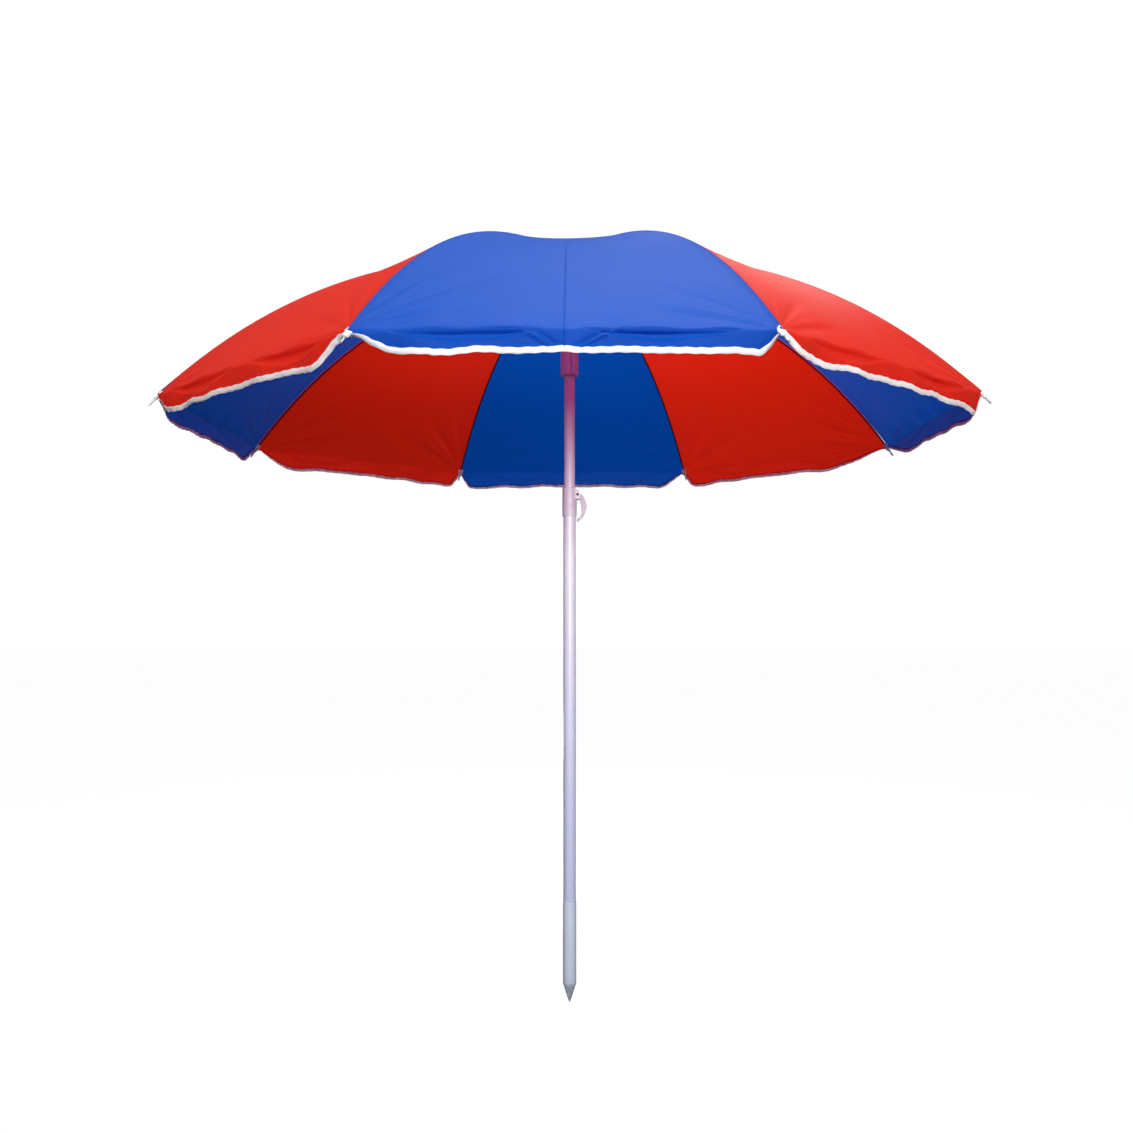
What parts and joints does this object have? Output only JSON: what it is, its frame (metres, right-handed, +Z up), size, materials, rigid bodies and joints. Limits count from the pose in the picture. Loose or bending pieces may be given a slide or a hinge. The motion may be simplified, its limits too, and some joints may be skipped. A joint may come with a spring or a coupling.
{
  "type": "beach umbrella",
  "caption": "Folding beach umbrella: two-part ground pole with a flip-lever clamp, sliding runner with latch, hinged ribs and stretchers, and a gored cloth cover with a hanging edge.",
  "frame": {"origin": "tip of the ground spike, on the pole's axis", "axes": "+Z up along the pole; -Y is the front, with a blue gore; +X is the side of the clamp's lever"},
  "size_m": [1.5084, 1.5084, 1.5542],
  "materials": {
    "painted_tube": "satin white paint on steel tube",
    "zinc_steel": "pale grey coated steel",
    "rib_steel": "black-lacquered spring wire, bare steel tips",
    "bright_steel": "plain bright steel",
    "white_plastic": "moulded, slightly glossy",
    "grey_plastic": "moulded",
    "cover_blue": "plain-weave polyester, slight sheen",
    "cover_red": "plain-weave polyester, slight sheen",
    "edge_white": "woven binding tape"
  },
  "bodies": {
    "pole": {"spike": "zinc_steel", "lower_tube": "painted_tube", "clamp_collar": "white_plastic", "collar_rivet": "bright_steel", "lever_pin": "bright_steel", "clamp_shoe": "grey_plastic"},
    "lever": {"clamp_lever": "white_plastic"},
    "mast": {"upper_tube": "painted_tube", "guide_bush": "white_plastic", "crown_hub": "white_plastic", "crown_ring": "bright_steel", "top_cap": "white_plastic"},
    "slider": {"runner": "white_plastic", "runner_ring": "bright_steel", "latch_pin": "bright_steel"},
    "latch": {"runner_latch": "white_plastic"},
    "rib_1_arm": {"rib_1": "rib_steel", "bracket_1": "bright_steel", "gore_1_right": "cover_blue", "gore_2_left": "cover_red"},
    "rib_2_arm": {"rib_2": "rib_steel", "bracket_2": "bright_steel", "gore_2_right": "cover_red", "gore_3_left": "cover_blue"},
    "rib_3_arm": {"rib_3": "rib_steel", "bracket_3": "bright_steel", "gore_3_right": "cover_blue", "gore_4_left": "cover_red"},
    "rib_4_arm": {"rib_4": "rib_steel", "bracket_4": "bright_steel", "gore_4_right": "cover_red", "gore_5_left": "cover_blue"},
    "rib_5_arm": {"rib_5": "rib_steel", "bracket_5": "bright_steel", "gore_5_right": "cover_blue", "gore_6_left": "cover_red"},
    "rib_6_arm": {"rib_6": "rib_steel", "bracket_6": "bright_steel", "gore_6_right": "cover_red", "gore_7_left": "cover_blue"},
    "rib_7_arm": {"rib_7": "rib_steel", "bracket_7": "bright_steel", "gore_7_right": "cover_blue", "gore_8_left": "cover_red"},
    "rib_8_arm": {"rib_8": "rib_steel", "bracket_8": "bright_steel", "gore_8_right": "cover_red", "gore_1_left": "cover_blue"},
    "stretcher_1_arm": {"stretcher_1": "bright_steel"},
    "stretcher_2_arm": {"stretcher_2": "bright_steel"},
    "stretcher_3_arm": {"stretcher_3": "bright_steel"},
    "stretcher_4_arm": {"stretcher_4": "bright_steel"},
    "stretcher_5_arm": {"stretcher_5": "bright_steel"},
    "stretcher_6_arm": {"stretcher_6": "bright_steel"},
    "stretcher_7_arm": {"stretcher_7": "bright_steel"},
    "stretcher_8_arm": {"stretcher_8": "bright_steel"}
  },
  "joints": [
    {"name": "mast_height", "type": "slide", "parent": "pole", "child": "mast", "axis": [0, 0, 1], "range_m": [0, 0.3]},
    {"name": "lever_flip", "type": "hinge", "parent": "pole", "child": "lever", "pos_m": [0.0164, 0, 1.025], "axis": [0, -1, 0], "range_deg": [0, 110]},
    {"name": "runner_slide", "type": "slide", "parent": "mast", "child": "slider", "axis": [0, 0, 1], "range_m": [-0.21581, 0]},
    {"name": "latch_press", "type": "hinge", "parent": "slider", "child": "latch", "pos_m": [0.00872, -0.01245, 1.314], "axis": [0.8192, 0.5736, 0], "range_deg": [0, 3.3], "stiffness_Nm_per_rad": 0.6},
    {"name": "rib_1_fold", "type": "hinge", "parent": "mast", "child": "rib_1_arm", "pos_m": [0.00631, -0.01524, 1.52573], "axis": [0.9239, 0.3827, 0], "range_deg": [0, 58.01], "deforming": ["gore_1_right", "gore_2_left"]},
    {"name": "rib_2_fold", "type": "hinge", "parent": "mast", "child": "rib_2_arm", "pos_m": [0.01524, -0.00631, 1.52573], "axis": [0.3827, 0.9239, 0], "range_deg": [0, 58.01], "deforming": ["gore_2_right", "gore_3_left"]},
    {"name": "rib_3_fold", "type": "hinge", "parent": "mast", "child": "rib_3_arm", "pos_m": [0.01524, 0.00631, 1.52573], "axis": [-0.3827, 0.9239, 0], "range_deg": [0, 58.01], "deforming": ["gore_3_right", "gore_4_left"]},
    {"name": "rib_4_fold", "type": "hinge", "parent": "mast", "child": "rib_4_arm", "pos_m": [0.00631, 0.01524, 1.52573], "axis": [-0.9239, 0.3827, 0], "range_deg": [0, 58.01], "deforming": ["gore_4_right", "gore_5_left"]},
    {"name": "rib_5_fold", "type": "hinge", "parent": "mast", "child": "rib_5_arm", "pos_m": [-0.00631, 0.01524, 1.52573], "axis": [-0.9239, -0.3827, 0], "range_deg": [0, 58.01], "deforming": ["gore_5_right", "gore_6_left"]},
    {"name": "rib_6_fold", "type": "hinge", "parent": "mast", "child": "rib_6_arm", "pos_m": [-0.01524, 0.00631, 1.52573], "axis": [-0.3827, -0.9239, 0], "range_deg": [0, 58.01], "deforming": ["gore_6_right", "gore_7_left"]},
    {"name": "rib_7_fold", "type": "hinge", "parent": "mast", "child": "rib_7_arm", "pos_m": [-0.01524, -0.00631, 1.52573], "axis": [0.3827, -0.9239, 0], "range_deg": [0, 58.01], "deforming": ["gore_7_right", "gore_8_left"]},
    {"name": "rib_8_fold", "type": "hinge", "parent": "mast", "child": "rib_8_arm", "pos_m": [-0.00631, -0.01524, 1.52573], "axis": [0.9239, -0.3827, 0], "range_deg": [0, 58.01], "deforming": ["gore_8_right", "gore_1_left"]},
    {"name": "stretcher_1_swing", "type": "hinge", "parent": "slider", "child": "stretcher_1_arm", "pos_m": [0.01147, -0.01699, 1.35], "axis": [0.9239, 0.3827, 0], "range_deg": [-36.01, 0]},
    {"name": "stretcher_2_swing", "type": "hinge", "parent": "slider", "child": "stretcher_2_arm", "pos_m": [0.02013, -0.0039, 1.35], "axis": [0.3827, 0.9239, 0], "range_deg": [-36.01, 0]},
    {"name": "stretcher_3_swing", "type": "hinge", "parent": "slider", "child": "stretcher_3_arm", "pos_m": [0.01699, 0.01147, 1.35], "axis": [-0.3827, 0.9239, 0], "range_deg": [-36.01, 0]},
    {"name": "stretcher_4_swing", "type": "hinge", "parent": "slider", "child": "stretcher_4_arm", "pos_m": [0.0039, 0.02013, 1.35], "axis": [-0.9239, 0.3827, 0], "range_deg": [-36.01, 0]},
    {"name": "stretcher_5_swing", "type": "hinge", "parent": "slider", "child": "stretcher_5_arm", "pos_m": [-0.01147, 0.01699, 1.35], "axis": [-0.9239, -0.3827, 0], "range_deg": [-36.01, 0]},
    {"name": "stretcher_6_swing", "type": "hinge", "parent": "slider", "child": "stretcher_6_arm", "pos_m": [-0.02013, 0.0039, 1.35], "axis": [-0.3827, -0.9239, 0], "range_deg": [-36.01, 0]},
    {"name": "stretcher_7_swing", "type": "hinge", "parent": "slider", "child": "stretcher_7_arm", "pos_m": [-0.01699, -0.01147, 1.35], "axis": [0.3827, -0.9239, 0], "range_deg": [-36.01, 0]},
    {"name": "stretcher_8_swing", "type": "hinge", "parent": "slider", "child": "stretcher_8_arm", "pos_m": [-0.0039, -0.02013, 1.35], "axis": [0.9239, -0.3827, 0], "range_deg": [-36.01, 0]}
  ],
  "couplings": [
    {"joint": "rib_1_fold", "follows": "runner_slide", "rad_per_m": -4.6907},
    {"joint": "rib_2_fold", "follows": "runner_slide", "rad_per_m": -4.6907},
    {"joint": "rib_3_fold", "follows": "runner_slide", "rad_per_m": -4.6907},
    {"joint": "rib_4_fold", "follows": "runner_slide", "rad_per_m": -4.6907},
    {"joint": "rib_5_fold", "follows": "runner_slide", "rad_per_m": -4.6907},
    {"joint": "rib_6_fold", "follows": "runner_slide", "rad_per_m": -4.6907},
    {"joint": "rib_7_fold", "follows": "runner_slide", "rad_per_m": -4.6907},
    {"joint": "rib_8_fold", "follows": "runner_slide", "rad_per_m": -4.6907},
    {"joint": "stretcher_1_swing", "follows": "runner_slide", "rad_per_m": 2.9105},
    {"joint": "stretcher_2_swing", "follows": "runner_slide", "rad_per_m": 2.9105},
    {"joint": "stretcher_3_swing", "follows": "runner_slide", "rad_per_m": 2.9105},
    {"joint": "stretcher_4_swing", "follows": "runner_slide", "rad_per_m": 2.9105},
    {"joint": "stretcher_5_swing", "follows": "runner_slide", "rad_per_m": 2.9105},
    {"joint": "stretcher_6_swing", "follows": "runner_slide", "rad_per_m": 2.9105},
    {"joint": "stretcher_7_swing", "follows": "runner_slide", "rad_per_m": 2.9105},
    {"joint": "stretcher_8_swing", "follows": "runner_slide", "rad_per_m": 2.9105}
  ]
}
